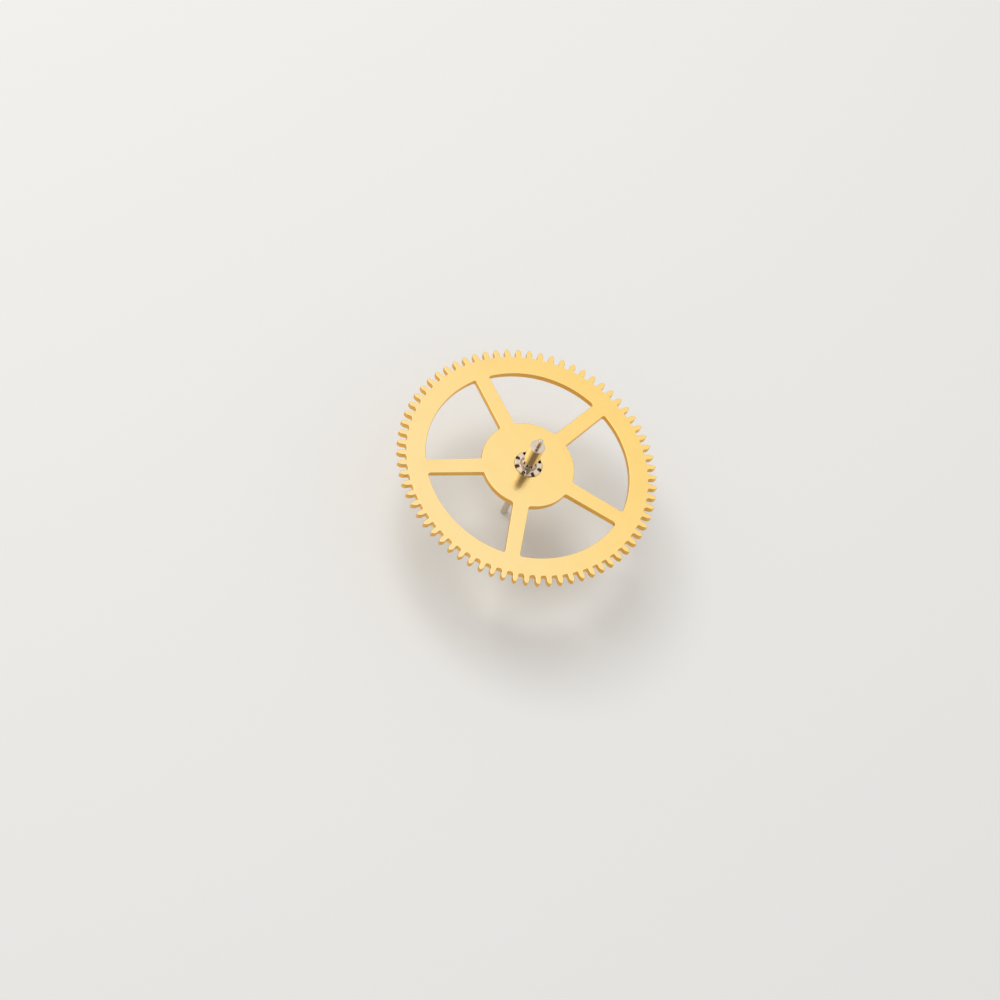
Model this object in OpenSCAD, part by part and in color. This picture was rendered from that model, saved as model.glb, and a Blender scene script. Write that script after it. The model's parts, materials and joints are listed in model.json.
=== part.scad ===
// Second wheel of a mechanical watch movement: a gilt brass wheel riveted to a steel pinion.
// Millimetres. The arbor lies along Z with the bridge side up, the origin is the centre of the
// wheel plate, and one spoke lies along +X.

/* [Wheel teeth] */
// Number of teeth on the wheel
wheel_teeth = 70; // [60:1:80]
// Diameter of the wheel's pitch circle
wheel_pitch_d = 8.4; // [7.6:0.1:9.6]
// Height of a tooth above the pitch circle, in modules
wheel_addendum = 1.3; // [1.1:0.05:1.5]
// Depth of a tooth space below the pitch circle, in modules
wheel_dedendum = 1.2; // [1:0.05:1.5]
// Radius of a tooth's rounded tip
wheel_tip_r = 0.035; // [0.01:0.005:0.05]
// Radius in the corners of a tooth space
wheel_root_r = 0.055; // [0.02:0.005:0.07]
// Angle from the middle of a spoke to the middle of the next tooth
tooth_turn = 3.05; // [0:0.05:6]

/* [Wheel plate] */
// Thickness of the wheel plate
plate_t = 0.2; // [0.14:0.01:0.3]
// Width of the rim, from the windows to the bottom of the tooth spaces
rim_w = 0.64; // [0.4:0.02:0.9]
// Diameter of the hub disc
hub_d = 3.1; // [2.4:0.02:4]
// Number of spokes
spokes = 5; // [3:1:6]
// Width of a spoke where it leaves the hub
spoke_hub_w = 0.53; // [0.3:0.01:0.8]
// Width of a spoke where it meets the rim
spoke_rim_w = 0.5; // [0.3:0.01:0.8]
// Radius in the corners of the windows
window_r = 0.07; // [0.02:0.01:0.2]

/* [Pinion leaves] */
// Number of leaves on the pinion
leaves = 8; // [7:1:9]
// Diameter of the leaves' pitch circle
leaf_pitch_d = 0.92; // [0.88:0.01:1]
// Height of a leaf above the pitch circle, in modules
leaf_addendum = 0.62; // [0.5:0.02:0.8]
// Depth of a leaf space below the pitch circle, in modules
leaf_dedendum = 1.5; // [1.4:0.05:1.7]
// Width of a leaf on the pitch circle, in modules
leaf_width = 1.05; // [0.9:0.05:1.25]
// Radius of a leaf's rounded tip
leaf_tip_r = 0.04; // [0.02:0.005:0.045]
// Radius in the corners of a leaf space
leaf_root_r = 0.04; // [0.02:0.005:0.05]
// Angle from the middle of a spoke to the middle of a leaf
leaf_turn = -3.5; // [-20:0.5:20]
// Length of the leaves below the wheel
leaf_len = 1.45; // [0.8:0.05:2]
// Depth of the hollow turned in the leaves' lower face
leaf_hollow = 0.05; // [0.02:0.01:0.1]

/* [Rivet] */
// Diameter of the seat turned on the leaves, which fills the bore of the wheel
seat_d = 0.88; // [0.8:0.01:0.9]
// Diameter of the leaf ends once they are spread over the wheel
rivet_d = 0.94; // [0.91:0.01:0.98]
// Depth of the countersink that the spread ends fill
rivet_grip = 0.04; // [0.02:0.01:0.08]
// Height of the spread ends above the wheel
rivet_h = 0.06; // [0.04:0.01:0.1]
// Width of the gap between two spread ends
rivet_gap = 0.1; // [0.06:0.01:0.14]
// Thickness of the collar that joins the spread ends round the arbor
rivet_collar = 0.08; // [0.04:0.01:0.1]
// Depth of the ring that the riveting punch leaves round the arbor
punch_depth = 0.03; // [0.01:0.005:0.035]

/* [Arbor] */
// Diameter of the arbor above the wheel
upper_arbor_d = 0.49; // [0.3:0.01:0.54]
// Length of the arbor above the wheel, up to its shoulder
upper_arbor_len = 1.2; // [0.6:0.05:2]
// Diameter of the arbor below the leaves
lower_arbor_d = 0.56; // [0.34:0.01:0.57]
// Length of the arbor below the leaves, down to its shoulder
lower_arbor_len = 0.34; // [0.2:0.02:0.8]
// Bevel on the edges of both shoulders
shoulder_bevel = 0.025; // [0.01:0.005:0.04]

/* [Pivots] */
// Diameter of the upper pivot
upper_pivot_d = 0.18; // [0.1:0.01:0.24]
// Length of the upper pivot
upper_pivot_len = 0.39; // [0.25:0.01:0.6]
// Diameter of the long lower pivot, whose end carries the seconds hand
lower_pivot_d = 0.23; // [0.16:0.01:0.25]
// Length of the long lower pivot
lower_pivot_len = 1.22; // [0.6:0.02:2]
// Radius that rounds the ends of the pivots
end_r = 0.05; // [0.02:0.005:0.07]

/* [Hidden] */
$fn = 96;

gilt = [1, 0.86, 0.57];
steel = [0.78, 0.76, 0.75];

// Heights along the arbor
plate_top = plate_t / 2;
plate_base = -plate_t / 2;
rivet_top = plate_top + rivet_h;
grip_base = plate_top - rivet_grip;
upper_shoulder = plate_top + upper_arbor_len;
upper_end = upper_shoulder + upper_pivot_len;
leaf_base = plate_base - leaf_len;
lower_shoulder = leaf_base - lower_arbor_len;
lower_end = lower_shoulder - lower_pivot_len;

// Modules: pitch diameter for each tooth or leaf
wheel_module = wheel_pitch_d / wheel_teeth;
leaf_module = leaf_pitch_d / leaves;

// Radii of the wheel
wheel_pitch_r = wheel_pitch_d / 2;
wheel_root = wheel_pitch_r - wheel_dedendum * wheel_module;
window_outer = wheel_root - rim_w;
hub_r = hub_d / 2;
seat_r = seat_d / 2;
rivet_r = rivet_d / 2;
collar_r = upper_arbor_d / 2 + rivet_collar;

// Radii of the pinion
leaf_pitch_r = leaf_pitch_d / 2;
leaf_tip = leaf_pitch_r + leaf_addendum * leaf_module;

// Steps along the round stretches of an outline
flank_steps = 3;
tip_steps = 3;
root_steps = 3;
corner_steps = 3;
end_steps = 4;
gap_steps = 6;
window_steps = 12;
fillet_share = 0.9;

// Points on an arc round c, from angle a to angle b, both ends included
function arc(c, r, a, b, n) =
    [for (i = [0:n]) let (t = a + (b - a) * i / n) c + r * [cos(t), sin(t)]];

function turned(p, a) = [p[0] * cos(a) - p[1] * sin(a), p[0] * sin(a) + p[1] * cos(a)];

// The outline turned over across the line through the origin at angle a, in the same sense
function mirrored(points, a) =
    [for (i = [len(points) - 1:-1:0])
        let (p = points[i])
        [p[0] * cos(2 * a) + p[1] * sin(2 * a), p[0] * sin(2 * a) - p[1] * cos(2 * a)]];

// Half of one tooth and of the space beside it, on the +Y side of a tooth that lies along +X.
// The tooth has a rounded tip, an ogive down to the pitch circle, and then a radial flank.
function half_tooth(count, pitch_r, width, addendum, dedendum, tip_r, root_r) =
    let (
        half = asin(width / 2 / pitch_r),
        base_x = pitch_r * cos(half),
        a = width / 2,
        rt = min(tip_r, fillet_share * a),
        tip_c = pitch_r + addendum - base_x - rt,
        ogive_r = (a * a + tip_c * tip_c - rt * rt) / (2 * (a - rt)),
        tip_angle = atan2(tip_c, ogive_r - a),
        root = pitch_r - dedendum,
        space = 180 / count - half,
        rf = min(root_r, fillet_share * (root + root_r) * sin(space)),
        corner_r = root + rf,
        corner_a = asin(rf / corner_r),
        corner = corner_r * [cos(half + corner_a), sin(half + corner_a)]
    )
    concat(
        [for (p = arc([0, tip_c], rt, 90, tip_angle, tip_steps)) [base_x + p[1], p[0]]],
        [for (i = [flank_steps - 1:-1:0])
            let (t = tip_angle * i / flank_steps)
            [base_x + ogive_r * sin(t), a - ogive_r + ogive_r * cos(t)]],
        arc(corner, rf, half - 90, half + corner_a - 180, root_steps),
        [root * [cos(180 / count), sin(180 / count)]]
    );

// The whole outline of a wheel or pinion, tooth by tooth, with its first tooth at angle turn
function toothed(count, turn, half) =
    let (tooth = concat(mirrored(half, 0), [for (i = [1:len(half) - 1]) half[i]]))
    [for (k = [0:count - 1]) for (i = [1:len(tooth) - 1])
        turned(tooth[i], turn + 360 * k / count)];

// Centre of a corner fillet that touches the side of a spoke and the circle it runs into:
// start is a point on the side, along its direction and inward the way into the window
function corner_centre(start, along, inward, r, centre_r) =
    let (q = start + inward * r, b = q * along, c = q * q - centre_r * centre_r)
    q + along * (-b + sqrt(b * b - c));

// Outline of the window between the spoke along +X and the next one
function window() =
    let (
        a = [hub_r, spoke_hub_w / 2],
        b = [window_outer, spoke_rim_w / 2],
        along = (b - a) / norm(b - a),
        inward = [-along[1], along[0]],
        inner = corner_centre(a, along, inward, window_r, hub_r + window_r),
        outer = corner_centre(a, along, inward, window_r, window_outer - window_r),
        side_a = atan2(-inward[1], -inward[0]),
        inner_a = atan2(inner[1], inner[0]),
        outer_a = atan2(outer[1], outer[0]),
        middle = 180 / spokes,
        half = concat(
            arc([0, 0], hub_r, middle, inner_a, window_steps / 2),
            arc(inner, window_r, inner_a - 180, side_a, corner_steps),
            arc(outer, window_r, side_a, outer_a, corner_steps),
            arc([0, 0], window_outer, outer_a, middle, window_steps)
        )
    )
    concat(half, mirrored(half, middle));

// Turned shape of the wheel's bore, which widens at the top to a countersink
function bore_profile() = [
    [0, plate_base - plate_t],
    [seat_r, plate_base - plate_t],
    [seat_r, grip_base],
    [rivet_r, plate_top],
    [rivet_r, plate_top + plate_t],
    [0, plate_top + plate_t]
];

// Brass wheel plate, with its teeth, its windows and its bore
module wheel() {
    outline = toothed(wheel_teeth, tooth_turn, half_tooth(
        wheel_teeth, wheel_pitch_r, PI * wheel_module / 2, wheel_addendum * wheel_module,
        wheel_dedendum * wheel_module, wheel_tip_r, wheel_root_r));
    color(gilt)
        difference() {
            linear_extrude(plate_t, center = true)
                difference() {
                    polygon(outline);
                    for (i = [0:spokes - 1])
                        rotate(360 * i / spokes) polygon(window());
                }
            rotate_extrude() polygon(bore_profile());
        }
}

// Turned shape that the leaves are cut in, hollow below and stepped down to the seat in the bore
function leaf_profile() = [
    [0, leaf_base + leaf_hollow],
    [lower_arbor_d / 2, leaf_base + leaf_hollow],
    [leaf_pitch_r, leaf_base],
    [leaf_tip, leaf_base],
    [leaf_tip, plate_base],
    [seat_r, plate_base],
    [seat_r, grip_base],
    [0, grip_base]
];

// Turned shape of the spread ends: the countersink's cone, a rounded edge and the punch's ring
function rivet_profile() = [
    [0, grip_base],
    [seat_r, grip_base],
    [rivet_r, plate_top],
    [rivet_r, rivet_top - punch_depth],
    [rivet_r - punch_depth, rivet_top],
    [collar_r, rivet_top],
    [upper_arbor_d / 2, rivet_top - punch_depth],
    [0, rivet_top - punch_depth]
];

// Rounded end of a pivot of radius r at height z, for an end that points up or down
function round_end(r, z, up) =
    let (e = min(end_r, fillet_share * r))
    up ? arc([r - e, z - e], e, 0, 90, end_steps) : arc([r - e, z + e], e, -90, 0, end_steps);

// Turned shape of the arbor, from the lower pivot up to the upper one
function arbor_profile() = concat(
    [[0, lower_end]],
    round_end(lower_pivot_d / 2, lower_end, false),
    [
        [lower_pivot_d / 2, lower_shoulder],
        [lower_arbor_d / 2 - shoulder_bevel, lower_shoulder],
        [lower_arbor_d / 2, lower_shoulder + shoulder_bevel],
        [lower_arbor_d / 2, 0],
        [upper_arbor_d / 2, 0],
        [upper_arbor_d / 2, upper_shoulder - shoulder_bevel],
        [upper_arbor_d / 2 - shoulder_bevel, upper_shoulder],
        [upper_pivot_d / 2, upper_shoulder]
    ],
    round_end(upper_pivot_d / 2, upper_end, true),
    [[0, upper_end]]
);

// Outline of the gap between two spread ends, with a round bottom at the collar
function end_gap() =
    let (w = rivet_gap / 2)
    concat(arc([collar_r + w, 0], w, 90, 270, gap_steps), [[2 * rivet_r, -w], [2 * rivet_r, w]]);

// Steel pinion: leaves, arbor and both pivots, all cut from one bar
module pinion() {
    outline = toothed(leaves, leaf_turn, half_tooth(
        leaves, leaf_pitch_r, leaf_width * leaf_module, leaf_addendum * leaf_module,
        leaf_dedendum * leaf_module, leaf_tip_r, leaf_root_r));
    color(steel)
        union() {
            intersection() {
                translate([0, 0, leaf_base]) linear_extrude(grip_base - leaf_base) polygon(outline);
                rotate_extrude() polygon(leaf_profile());
            }
            difference() {
                rotate_extrude() polygon(rivet_profile());
                for (i = [0:leaves - 1])
                    rotate(leaf_turn + 360 * (i + 0.5) / leaves)
                        translate([0, 0, grip_base]) linear_extrude(rivet_top - grip_base)
                            polygon(end_gap());
            }
            rotate_extrude() polygon(arbor_profile());
        }
}

wheel();
pinion();
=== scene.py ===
"""Finish, light and camera for the second wheel of a watch: a gilt wheel riveted to a steel pinion."""

import json
import math
import random

import bmesh
import bpy
from mathutils import Matrix, Vector


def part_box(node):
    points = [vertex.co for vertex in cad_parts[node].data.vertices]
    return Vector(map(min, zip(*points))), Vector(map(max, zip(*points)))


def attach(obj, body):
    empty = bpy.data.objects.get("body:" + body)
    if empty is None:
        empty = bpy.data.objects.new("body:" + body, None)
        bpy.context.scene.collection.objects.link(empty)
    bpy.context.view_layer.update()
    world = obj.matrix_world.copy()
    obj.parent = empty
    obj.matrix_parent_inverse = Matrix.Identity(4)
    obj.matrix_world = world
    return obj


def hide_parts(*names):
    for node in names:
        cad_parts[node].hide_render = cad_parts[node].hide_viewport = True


bl_info = {
    "name": "Watch second wheel",
    "version": (1, 0, 0),
    "blender": (4, 5, 0),
    "location": "3D View > Sidebar > Second Wheel",
    "description": "Builds the gilt wheel and the steel pinion of a watch's second wheel",
    "category": "Object",
}

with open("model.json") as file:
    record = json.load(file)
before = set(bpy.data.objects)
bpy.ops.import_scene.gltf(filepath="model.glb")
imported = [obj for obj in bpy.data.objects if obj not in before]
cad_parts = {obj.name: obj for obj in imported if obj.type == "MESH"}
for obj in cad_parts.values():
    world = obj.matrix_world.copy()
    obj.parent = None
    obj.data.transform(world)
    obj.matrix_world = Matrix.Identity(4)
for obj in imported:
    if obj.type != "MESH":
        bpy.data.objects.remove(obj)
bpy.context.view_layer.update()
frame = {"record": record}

MM = 0.001
BODY = "root"

# Places that the frame gives, in metres, and the pivots' diameters, in millimetres
PLATE_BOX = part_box("wheel")
PINION_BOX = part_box("pinion")
MOUNTS = {mount["name"]: mount for mount in frame["record"]["mounts"]}
UPPER_SHOULDER = MOUNTS["upper_shoulder"]["pos_m"][2]
LOWER_SHOULDER = MOUNTS["lower_shoulder"]["pos_m"][2]
UPPER_PIVOT_D = 2 * MOUNTS["upper_pivot"]["dims"]["r_mm"]
LOWER_PIVOT_D = 2 * MOUNTS["lower_pivot"]["dims"]["r_mm"]

# The photograph's camera, in the part's frame. The line of sight leans away from the arbor by
# VIEW_TILT towards VIEW_AZIMUTH, and the picture is turned clockwise by PICTURE_ROLL. The origin
# lies at ORIGIN_PIXEL, where a millimetre is PIXELS_PER_MM pixels.
VIEW_TILT = math.radians(33.03)
VIEW_AZIMUTH = math.radians(200.88)
PICTURE_ROLL = math.radians(27.87)
VIEW_DISTANCE = 105 * MM
PICTURE_SIZE = 1000
ORIGIN_PIXEL = (527.57, 466.01)
PIXELS_PER_MM = 30.817
SENSOR_WIDTH = 36

# What polished metal mirrors: where the soft lamp, the dark camera with its stand and the dark cards
# are round the part, and the angles from the middle of each at which it starts to fade and ends
GLOW_AZIMUTH = math.radians(100)
GLOW_ELEVATION = math.radians(57)
GLOW_ANGLES = (math.radians(14), math.radians(31))
LENS_AZIMUTH = math.radians(228)
LENS_ANGLES = (math.radians(18), math.radians(34))
CARD_AZIMUTHS = (math.radians(112), math.radians(250), math.radians(340))
CARD_ELEVATION = math.radians(8)
CARD_ANGLES = (math.radians(9), math.radians(24))

# The side of the wheel towards which the gold turns paler
PALE_SIDE = math.radians(168)

# The floor: how far it lies below the lower pivot's end, so that the two faces don't coincide,
# half its width, and the distances from the part at which it starts to fade and is white
FLOOR_GAP = 0.03 * MM
FLOOR_REACH = 1.2
FLOOR_FADE = (0.05, 0.3)

# The soft lamp
KEY_AZIMUTH = math.radians(85)
KEY_ELEVATION = math.radians(58)
KEY_DISTANCE = 160 * MM
KEY_WIDTH = 110 * MM

# Steps along round stretches
TIP_STEPS = 8
FLANK_STEPS = 8
ROOT_STEPS = 8
CORNER_STEPS = 8
WINDOW_STEPS = 40
EDGE_STEPS = 5
CROWN_STEPS = 7
BORE_STEPS = 192
FILLET_STEPS = 5

# Points along half a leaf, and along half a spread end
LEAF_POINTS = 34

# The largest fillet, as a share of the room it has, and the spread ends' corners, as a share of
# half the gap between two of them
FILLET_SHARE = 0.9
END_CORNER_SHARE = 0.6

# In millimetres: the least distance between rings that would otherwise meet, the distance from the
# ends of a long straight at which it gets its extra points, and the distance below which two points
# of the pinion become one
CLEARANCE = 0.004
STRAIGHT_MARGIN = 0.02
SAME_POINT = 0.00002

# The dent that the punch left round the bore: how far out in roundings, and how deep in dents
DENT_PROFILE = ((0, 1), (0.25, 1), (2, 0.3), (3, 0))

# Where the rings of the leaves' lower face lie, from the arbor to the edge, and where those on top
# of the spread ends lie, from the edge to the punch's ring
FACE_PARTS = (0, 0.1, 0.25, 0.4, 0.55, 0.7, 0.85, 0.96)
CROWN_PARTS = (0.15, 0.4, 0.65, 0.9, 1.0)

# Round the arbor, in fillets: how far the leaves' lower edge stays clear of it, and the size of the
# fillet in the punch's ring
EDGE_CLEAR = 1.2
PUNCH_FILLET = 0.7

# The spread ends' walls: where in the countersink's depth they start to widen and are half as wide,
# where in their height they bulge most, how much of it is rounded, and how far the top's edge falls,
# in roundings
GRIP_PARTS = (0.85, 0.45)
BULGE_PART = 0.2
ROUNDED_PART = 0.6
CROWN_FALL = 0.1

# How the spread ends differ by chance, in parts of their unevenness
CHANCE_SEED = 8
REACH_CHANCE = (-1, 0.3)
LIFT_CHANCE = (-1, 0)

# Edges that are sharper than this aren't smoothed over
SHARP_ANGLE = math.radians(40)

# Patterns of the finishes, per millimetre: how fine each is, or how fine along X, Y and Z
CLOUD_SCALE = 0.9
GRAIN_SCALE = 38.0
WAVE_SCALE = 6.0
HUB_LINE_SCALE = (75.0, 75.0, 0.0)
CUT_SCALE = (42.0, 42.0, 1.5)
SCRATCH_SCALE = (1.4, 70.0, 1.0)
HANDLED_SCALE = 0.7
STAIN_SCALE = 9.0
LATHE_SCALE = 85.0
LEAF_LINE_SCALE = (60.0, 60.0, 2.0)
HAMMER_SCALE = 16.0

# The sets of fine scratches: the turn of each, and how far its pattern is moved
SCRATCH_SETS = ((0.3, 3.1), (1.5, 8.7), (2.4, 15.2))

# Height of the relief that the finishes leave, and each pattern's height as a multiple of it
RELIEF = 0.0009 * MM
HUB_LINE_RELIEF = 0.35
WAVE_RELIEF = 3.0
CUT_RELIEF = 2.2
SCRATCH_RELIEF = 0.35
LATHE_RELIEF = 0.35
HAMMER_RELIEF = 2.4

# The values of a slope or a pattern between which its finish sets in
FACE_SLOPES = (0.5, 0.9)
WORN_CLOUDS = (0.5, 0.8)
SCRATCH_LINES = (0.72, 0.78)
HANDLED_SPOTS = (0.45, 0.65)
STAIN_SPOTS = (0.42, 0.7)
ROUGH_GRAIN = (0.3, 0.75)
ROUGH_HAMMERING = (0.3, 0.8)

# How much the wear changes the colour, the least stain, and what the patterns add to the roughness
WORN_SHARE = 0.22
STAIN_LEAST = 0.4
SCRATCH_ROUGHNESS = 0.07
GRAIN_ROUGHNESS = (-0.02, 0.04)
HAMMER_ROUGHNESS = (-0.02, 0.05)

# Where a finish fades in, in millimetres: the polish from outside the hub's edge to inside it, the
# spread ends out from the arbor, and the painted shade below the plate, out from the arbor and above
# the spread ends. The share after them is how strong the painted shade is in the punch's ring.
POLISH_FADE = (0.25, -0.3)
ENDS_FADE = (0.01, 0.03)
SHADE_BELOW = (0.3, 0.05)
SHADE_ROUND = (0.06, 0.035)
SHADE_ABOVE = (0.015, -0.005)
SHADE_IN_RING = 0.25


def length(name, description, millimetres):
    """A length property, written in millimetres and kept in metres."""
    return bpy.props.FloatProperty(
        name=name, description=description, default=millimetres * MM, min=0, unit="LENGTH", precision=6
    )


def share(name, description, default, highest=1.0):
    """A plain number that runs from nought to its highest value."""
    return bpy.props.FloatProperty(
        name=name, description=description, default=default, min=0, max=highest, precision=3
    )


def angle(name, description, degrees):
    """An angle property, written in degrees."""
    return bpy.props.FloatProperty(
        name=name, description=description, default=math.radians(degrees), subtype="ANGLE"
    )


def colour(name, description, default):
    """A colour property with linear values."""
    return bpy.props.FloatVectorProperty(
        name=name, description=description, default=default, size=3, min=0, max=1, subtype="COLOR"
    )


class WheelSizes(bpy.types.PropertyGroup):
    """Sizes of the toothed wheel."""

    teeth: bpy.props.IntProperty(name="Teeth", description="Number of teeth", default=70, min=60, max=80)
    pitch_d: length("Pitch circle", "Diameter of the pitch circle", 8.4)
    addendum: share("Addendum", "Height of a tooth above the pitch circle, in modules", 1.3, 2)
    dedendum: share("Dedendum", "Depth of a tooth space below the pitch circle, in modules", 1.2, 2)
    tip_r: length("Tip radius", "Radius of a tooth's rounded tip", 0.035)
    root_r: length("Root radius", "Radius in the corners of a tooth space", 0.055)
    tooth_turn: angle("Tooth turn", "Angle from the middle of a spoke to the next tooth", 3.05)
    thickness: length(
        "Thickness", "Thickness of the plate", (PLATE_BOX[1].z - PLATE_BOX[0].z) / MM
    )
    rim_w: length("Rim width", "Width of the rim below the tooth spaces", 0.64)
    hub_d: length("Hub", "Diameter of the hub disc", 3.1)
    spokes: bpy.props.IntProperty(name="Spokes", description="Number of spokes", default=5, min=3, max=6)
    spoke_hub_w: length("Spoke at hub", "Width of a spoke where it leaves the hub", 0.53)
    spoke_rim_w: length("Spoke at rim", "Width of a spoke where it meets the rim", 0.5)
    window_r: length("Window corners", "Radius in the corners of the windows", 0.07)
    upper_edge: length("Upper edge", "Radius on the upper edges, drawn down by the stamping", 0.022)
    lower_edge: length("Lower edge", "Radius on the lower edges, where the burr was taken off", 0.01)


class PinionSizes(bpy.types.PropertyGroup):
    """Sizes of the pinion's leaves."""

    leaves: bpy.props.IntProperty(name="Leaves", description="Number of leaves", default=8, min=6, max=12)
    pitch_d: length("Pitch circle", "Diameter of the leaves' pitch circle", 0.92)
    addendum: share("Addendum", "Height of a leaf above the pitch circle, in modules", 0.62, 2)
    dedendum: share("Dedendum", "Depth of a leaf space below the pitch circle, in modules", 1.5, 2)
    leaf_w: share("Leaf width", "Width of a leaf on the pitch circle, in modules", 1.05, 2)
    tip_r: length("Tip radius", "Radius of a leaf's rounded tip", 0.04)
    root_r: length("Root radius", "Radius in the corners of a leaf space", 0.04)
    leaf_turn: angle("Leaf turn", "Angle from the middle of a spoke to a leaf", -3.5)
    leaf_len: length("Leaf length", "Length of the leaves below the plate", 1.45)
    hollow: length("Hollow", "Depth of the hollow turned in the leaves' lower face", 0.05)
    edge: length("Edge", "Radius on the leaves' lower edges", 0.018)


class RivetSizes(bpy.types.PropertyGroup):
    """Sizes of the leaf ends that are spread over the wheel."""

    seat_d: length("Seat", "Diameter of the seat that fills the bore", 0.88)
    spread_d: length("Spread ends", "Diameter of the spread leaf ends", 0.94)
    grip: length("Grip", "Depth of the countersink that the ends fill", 0.04)
    height: length("Height", "Height of the spread ends above the plate", 0.06)
    gap: length("Gap", "Width of the gap between two spread ends", 0.1)
    collar: length("Collar", "Thickness of the collar that joins the ends round the arbor", 0.08)
    punch_depth: length("Punch ring", "Depth of the ring that the punch leaves round the arbor", 0.03)
    rounding: length("Rounding", "Radius on the edges of the spread ends", 0.034)
    bulge: length("Bulge", "How far the pressed metal bulges past its own circle", 0.006)
    uneven: length("Unevenness", "How much the spread ends differ in reach and height", 0.007)
    dent: length("Dent", "How far the punch pressed the plate down round the ends", 0.004)


class ArborSizes(bpy.types.PropertyGroup):
    """Sizes of the arbor and its pivots."""

    upper_d: length("Upper arbor", "Diameter of the arbor above the wheel", 0.49)
    lower_d: length("Lower arbor", "Diameter of the arbor below the leaves", 0.56)
    upper_pivot_d: length("Upper pivot", "Diameter of the upper pivot", UPPER_PIVOT_D)
    lower_pivot_d: length("Lower pivot", "Diameter of the long lower pivot", LOWER_PIVOT_D)
    bevel: length("Shoulder edge", "Radius on the edges of both shoulders", 0.025)
    fillet: length("Fillet", "Radius in the corners where the diameter changes", 0.012)
    end_r: length("Pivot ends", "Radius that rounds the ends of the pivots", 0.05)


class GiltFinish(bpy.types.PropertyGroup):
    """Finish of the gilt brass."""

    # The gold runs from deep on one side of the wheel to pale on the other
    pale: colour("Pale gold", "Colour of the gilding where it is thickest", (1.0, 0.752, 0.345))
    deep: colour("Deep gold", "Colour of the gilding across from there", (1.0, 0.69, 0.228))
    thin: colour("Thin gold", "Colour of the gilding where the brass shines through", (0.93, 0.6, 0.2))
    # Painted reflection: the walls' darker, browner gold stands for the dark, shaded surroundings that
    # they mirror
    wall: colour("Wall gold", "Colour of the cut walls and teeth", (0.87, 0.47, 0.085))
    shade: colour("Shade", "Colour deep in the bore", (0.16, 0.095, 0.03))
    hub_roughness: share("Hub roughness", "Roughness of the polished hub", 0.15)
    face_roughness: share("Face roughness", "Roughness of the rim and spokes", 0.2)
    wall_roughness: share("Wall roughness", "Roughness of the cut walls and teeth", 0.27)


class SteelFinish(bpy.types.PropertyGroup):
    """Finish of the hardened steel."""

    # The steel colours are partly the steel's own and partly a warm tint, a painted reflection of orange
    # surroundings
    base: colour("Steel", "Colour of the polished steel", (0.69, 0.595, 0.495))
    pressed: colour("Pressed steel", "Colour of the leaf ends under the punch", (0.78, 0.64, 0.47))
    # Painted shade: a dark colour for the gaps between the spread ends, the bore below them and, more
    # weakly, the punch's ring
    oiled: colour(
        "Oiled steel", "Colour of the steel in the gaps, where old oil stays", (0.28, 0.185, 0.125)
    )
    turned_roughness: share("Turned roughness", "Roughness of the turned surfaces", 0.1)
    pressed_roughness: share("Pressed roughness", "Roughness of the spread ends", 0.1)
    # Roughness where the painted shade lies
    oiled_roughness: share("Oiled roughness", "Roughness of the steel in the gaps", 0.5)


class StageSettings(bpy.types.PropertyGroup):
    """Floor and light."""

    floor: colour("Floor", "Colour of the floor", (0.82, 0.81, 0.79))
    ambient: share("Ambient", "Strength of the sky for matt surfaces", 0.62, 2)
    key_power: share("Key light", "Power of the key light in watts", 0.13, 2)
    lens_shade: share("Lens shade", "Brightness of the dark camera as polished metal sees it", 0.28)
    horizon: share("Horizon", "Brightness of the sky's lowest part as polished metal sees it", 0.6)
    glow: share("Glow", "How much brighter the sky's soft lamp is, as polished metal sees it", 0.7, 2)
    card: share("Dark cards", "Brightness of the dark cards low in the sky", 0.35)


class SecondWheelSettings(bpy.types.PropertyGroup):
    """All sizes and finishes of the part and its stage."""

    wheel: bpy.props.PointerProperty(type=WheelSizes)
    pinion: bpy.props.PointerProperty(type=PinionSizes)
    rivet: bpy.props.PointerProperty(type=RivetSizes)
    arbor: bpy.props.PointerProperty(type=ArborSizes)
    gilt: bpy.props.PointerProperty(type=GiltFinish)
    steel: bpy.props.PointerProperty(type=SteelFinish)
    stage: bpy.props.PointerProperty(type=StageSettings)


class Sizes:
    """The values of a property group, with its lengths in millimetres."""

    def __init__(self, group):
        for name in type(group).__annotations__:
            value = getattr(group, name)
            is_length = group.bl_rna.properties[name].unit == "LENGTH"
            setattr(self, name, value / MM if is_length else value)


def polar(radius, turn):
    """The point at a radius and an angle."""
    return Vector((radius * math.cos(turn), radius * math.sin(turn)))


def arc(centre, radius, start, end, steps):
    """Points on an arc from angle start to angle end, both ends included."""
    return [
        Vector(centre) + polar(radius, start + (end - start) * i / steps) for i in range(steps + 1)
    ]


def mirrored(points, turn=0.0):
    """The outline turned over across the line through the origin at an angle."""
    c, s = math.cos(2 * turn), math.sin(2 * turn)
    return [Vector((p.x * c + p.y * s, p.x * s - p.y * c)) for p in reversed(points)]


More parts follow.
